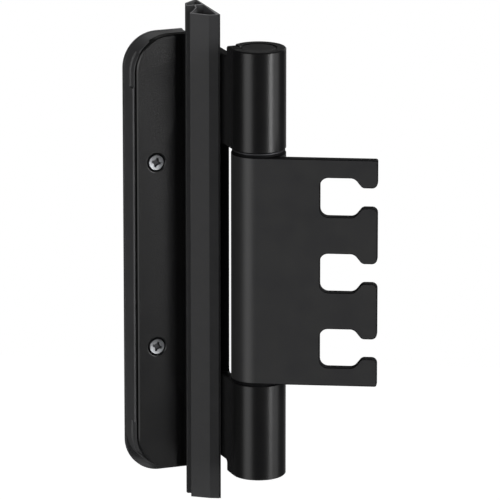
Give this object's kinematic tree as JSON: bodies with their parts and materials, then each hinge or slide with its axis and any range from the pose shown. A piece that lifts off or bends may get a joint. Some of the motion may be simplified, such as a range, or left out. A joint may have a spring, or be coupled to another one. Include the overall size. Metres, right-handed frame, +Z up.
{
  "type": "heavy-duty door hinge",
  "caption": "Lift-in door hinge: a rolled and bent door leaf on a cast mortise body turns on a pin against a frame leaf with open keyhole slots; a hollow rubber seal fills the corner.",
  "frame": {"origin": "on the pivot axis at mid-height of the frame leaf", "axes": "+Z up along the pivot axis, +X out along the frame leaf from the pivot, +Y square to the frame leaf towards the frame it is fixed to; the door side stands 26 degrees open from the straight-out position"},
  "size_m": [0.0948, 0.0348, 0.1861],
  "materials": {
    "powder_coat_leaf": "satin black powder coat",
    "powder_coat_door": "satin black powder coat",
    "cast_body": "satin black coated casting",
    "seal_rubber": "matt black rubber",
    "screw_steel": "bright zinc-plated steel",
    "pin_steel": "ground steel",
    "washer_steel": "pressed steel",
    "bush_plastic": "black bearing plastic",
    "cap_plastic": "satin black plastic"
  },
  "bodies": {
    "frame_side": {"frame_leaf": "powder_coat_leaf", "upper_bearing_bush": "bush_plastic", "lower_bearing_bush": "bush_plastic", "upper_thrust_washer": "washer_steel"},
    "door_side": {"door_leaf": "powder_coat_door", "mortise_body": "cast_body", "upper_leaf_screw": "screw_steel", "lower_leaf_screw": "screw_steel", "seal_profile": "seal_rubber", "hinge_pin": "pin_steel", "upper_pin_sleeve": "pin_steel", "lower_pin_sleeve": "pin_steel", "top_cap": "cap_plastic", "bottom_cap": "cap_plastic", "pin_lock_screw": "washer_steel"}
  },
  "joints": [
    {"name": "door_swing", "type": "hinge", "parent": "frame_side", "child": "door_side", "pos_m": [0, 0, 0], "axis": [0, 0, 1], "range_deg": [-26, 154]}
  ]
}
